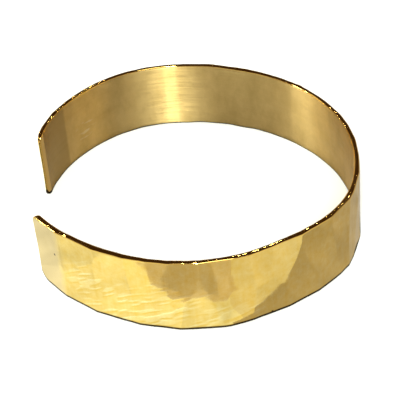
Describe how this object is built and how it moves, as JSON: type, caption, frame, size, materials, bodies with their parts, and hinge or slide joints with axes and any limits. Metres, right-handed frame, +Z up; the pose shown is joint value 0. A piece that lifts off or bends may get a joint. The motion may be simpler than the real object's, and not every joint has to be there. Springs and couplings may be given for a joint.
{
  "type": "cuff bracelet",
  "caption": "Open cuff bracelet bent from a flat strip of hammered brass sheet, worn by slipping the wrist through its side opening.",
  "frame": {"origin": "middle of the cuff's length and breadth, on the surface it rests on", "axes": "+Z up through the wrist hollow, +Y along the longer diameter, -X towards the opening"},
  "size_m": [0.0536, 0.0612, 0.0127],
  "materials": {
    "hammered_brass": "polished and lightly hammered outside, satin brushed inside, polished rim"
  },
  "bodies": {
    "root": {"cuff_band": "hammered_brass"}
  },
  "joints": []
}
